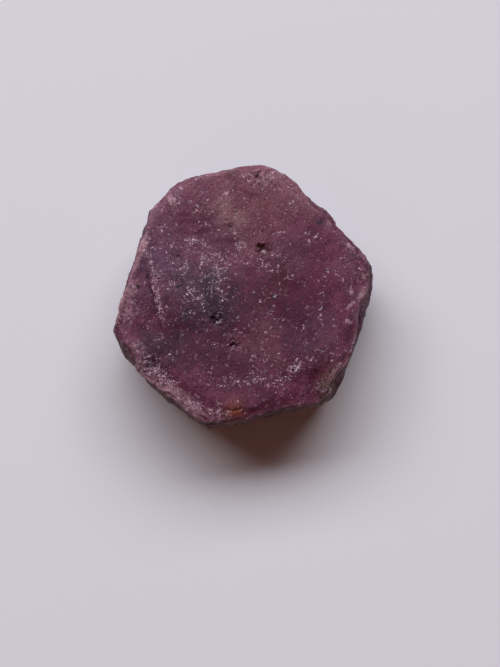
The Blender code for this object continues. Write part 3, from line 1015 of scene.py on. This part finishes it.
facets = add_node("TexVoronoi", {"Vector": fleck_place, "Scale": 1 / FACET_SIZE})
facet_colour = facets.outputs["Color"]
facet_chance = add_node("VectorMath", {0: facet_colour, 1: (NOISE_MIDDLE,) * 3}, SUBTRACT).outputs[0]
facet_lean = add_node(
    "VectorMath", {0: facet_chance, 1: (FLASHER_SPREAD,) * 3, 2: FLASHER_LEAN}, MULTIPLY_ADD
).outputs[0]
from_middle = add_node("VectorMath", {0: fleck_place, 1: facets.outputs["Position"]}, SUBTRACT).outputs[0]
facet_height = add_node(
    "VectorMath", {0: facet_lean, 1: from_middle}, {"operation": "DOT_PRODUCT"}
).outputs["Value"]
# The random colour's blue plays no part in the lean on the level top, so it picks the flashers.
facet_luck = add_node("SeparateColor", {0: facet_colour}).outputs["Blue"]
flashes = add_node("Math", {0: facet_luck, 1: FLASHER_LUCK}, {"operation": "GREATER_THAN"}).outputs[0]
facet_rise = add_node("Math", {0: facet_height, 1: flashes}, MULTIPLY).outputs[0]
surface_height = add_node("Math", {0: grain_noise, 1: GRAIN_HEIGHT, 2: facet_rise}, MULTIPLY_ADD).outputs[0]
surface_height = add_node(
    "Math", {0: speck_noise, 1: SPECK_HEIGHT, 2: surface_height}, MULTIPLY_ADD
).outputs[0]
bump = add_node("Bump", {"Height": surface_height, "Strength": 1.0, "Distance": MM}).outputs[0]
tree.links.new(bump, shader.inputs["Normal"])
print("the whole material has", len(tree.nodes), "nodes")

# %% [markdown]
# Polished corundum shines, but wear has scattered most of that, while a small fresh facet still flashes.
# One roughness for all would make the stone look either dead or waxy, so the flashing facets are made
# smooth and everything else rough. Light that goes in and comes out redder is subsurface scattering. It
# could carry the whole depth of colour, but it also washes out fine detail, so it stays weak and short.

# %% Shine and depth
WORN_ROUGHNESS = 0.52
FLASHER_ROUGHNESS = 0.16
# Wear scatters much of the shine that polished corundum would give, so its level is turned down.
STONE_SETTINGS = {
    "IOR": 1.77,
    "Specular IOR Level": 0.12,
    "Metallic": 0.0,
    "Subsurface Weight": 0.2,
    "Subsurface Radius": (1.0, 0.25, 0.35),
    "Subsurface Scale": 1.2 * MM,
}

roughness = add_node(
    "MapRange", {"Value": flashes, "To Min": WORN_ROUGHNESS, "To Max": FLASHER_ROUGHNESS}
).outputs[0]
tree.links.new(roughness, shader.inputs["Roughness"])
for setting, value in STONE_SETTINGS.items():
    shader.inputs[setting].default_value = value
print("the stone's roughness is", WORN_ROUGHNESS, "and its facets'", FLASHER_ROUGHNESS)

# %% [markdown]
# ## Dress the crystal
#
# The carved mesh now gets its material. Separate pieces for the skin or the frost would leave seams, so
# the stone stays one piece, as it grew. It then takes the place of the plain solid, and rides on the body
# that the solid belongs to.

# %% Dress the crystal
crystal.data.materials.clear()
crystal.data.materials.append(ruby)
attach(crystal, "root")
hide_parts("ruby_crystal")
print("the crystal wears", crystal.data.materials[0].name)

# %% [markdown]
# ## The table
#
# The crystal lies on a pale, faintly lilac table with matt paint. A rounded backdrop would hide where the
# table ends from every side. The camera looks down and never sees that edge, so one wide face is enough.

# %% The table
TABLE_WIDTH = 3.0
TABLE_COLOUR = colour("#e6e1ea")
PAINT_ROUGHNESS = 0.6

bpy.ops.object.select_all(action="DESELECT")
bpy.ops.mesh.primitive_plane_add(size=TABLE_WIDTH, location=(0, 0, 0))
table = bpy.context.object
table.name = "pale_table"
paint = bpy.data.materials.new("matt_paint")
paint.use_nodes = True
paint_shader = paint.node_tree.nodes["Principled BSDF"]
paint_shader.inputs["Base Color"].default_value = TABLE_COLOUR
paint_shader.inputs["Roughness"].default_value = PAINT_ROUGHNESS
table.data.materials.append(paint)
print("the table is", TABLE_WIDTH, "m wide")

# %% [markdown]
# ## The window and the room
#
# One wide window behind the crystal gives nearly all the light, and a warm wall close by returns a little.
# A small lamp would throw a shadow with a hard edge. A wide window's shadow is dark close to the stone and
# fades away from it, so the window is an area light as wide as a wall. The rest of the room is dim and
# warm, and comes from the world's colour. Only the level of the horizon is pale, so that a view from low
# down doesn't end in a dark wall behind the table.


# %% The window and the room
def add_soft_light(name, away, rise, turn, size, watts, tint):
    """A square-cornered light facing the crystal: metres away, degrees above the table and round from +X."""
    rise, turn = math.radians(rise), math.radians(turn)
    way = Vector((math.cos(turn) * math.cos(rise), math.sin(turn) * math.cos(rise), math.sin(rise)))
    bpy.ops.object.light_add(type="AREA", location=way * away)
    light = bpy.context.object
    light.name = name
    light.rotation_euler = way.to_track_quat("Z", "Y").to_euler()
    light.data.shape = "RECTANGLE"
    light.data.size, light.data.size_y = size
    light.data.energy = watts
    light.data.color = colour(tint)[:3]
    print("the", name, "gives", watts, "W from", away, "m away")


ROOM_COLOUR = colour("#422b24")
HORIZON_COLOUR = colour("#cdc9d2")
# How steeply a ray climbs, as its rise over its length, where the room starts and where the horizon ends.
ROOM_RISE, HORIZON_RISE = 0.10, 0.03

add_soft_light("window", away=4.0, rise=46.0, turn=98.0, size=(7.2, 2.0), watts=252.0, tint="#f6fcff")
add_soft_light("warm_wall", away=0.45, rise=35.0, turn=-110.0, size=(0.4, 0.3), watts=0.10, tint="#ffb090")

room = bpy.data.worlds.new("room")
room.use_nodes = True
room_tree = room.node_tree
ray = add_node("TexCoord", into=room_tree).outputs["Generated"]
ray_rise = add_node("SeparateXYZ", {0: ray}, into=room_tree).outputs["Z"]
horizon_share = add_node(
    "MapRange",
    {"Value": ray_rise, "From Min": ROOM_RISE, "From Max": HORIZON_RISE},
    SOFT_ENDS,
    into=room_tree,
).outputs[0]
room_light = add_node(
    "Mix", {"Factor": horizon_share, UNDER: ROOM_COLOUR, OVER: HORIZON_COLOUR}, COLOURS, into=room_tree
).outputs[MIXED]
room_tree.links.new(room_light, room_tree.nodes["Background"].inputs["Color"])
bpy.context.scene.world = room
bpy.context.scene.view_settings.view_transform = "Standard"

# %% [markdown]
# ## The camera
#
# The camera looks down on the top from about a hand's length away, leaning so that a little of the near
# side shows. A longer lens further off would flatten the stone. So close, the near side looks larger than
# the far one, as it does to the eye.

# %% The camera
# The focal length and the frame's height are in pixels, and the places and the sensor in millimetres.
FRAME_HEIGHT_PX = 667
FOCAL_PX = 1100
SENSOR = 36.0
CAMERA_AWAY = 166.0
CAMERA_LEAN = 9.0
CAMERA_TARGET = Vector((0.82, -4.05, 0.0))
NEAREST_SEEN = 5.0

lean = math.radians(CAMERA_LEAN)
camera_way = Vector((0, -math.sin(lean), math.cos(lean)))
bpy.ops.object.camera_add(location=(CAMERA_TARGET + camera_way * CAMERA_AWAY) * MM, rotation=(lean, 0, 0))
camera = bpy.context.object
camera.data.sensor_width = SENSOR
camera.data.lens = FOCAL_PX * SENSOR / FRAME_HEIGHT_PX
camera.data.clip_start = NEAREST_SEEN * MM
bpy.context.scene.camera = camera
print("the camera has a lens of", round(camera.data.lens, 1), "mm")
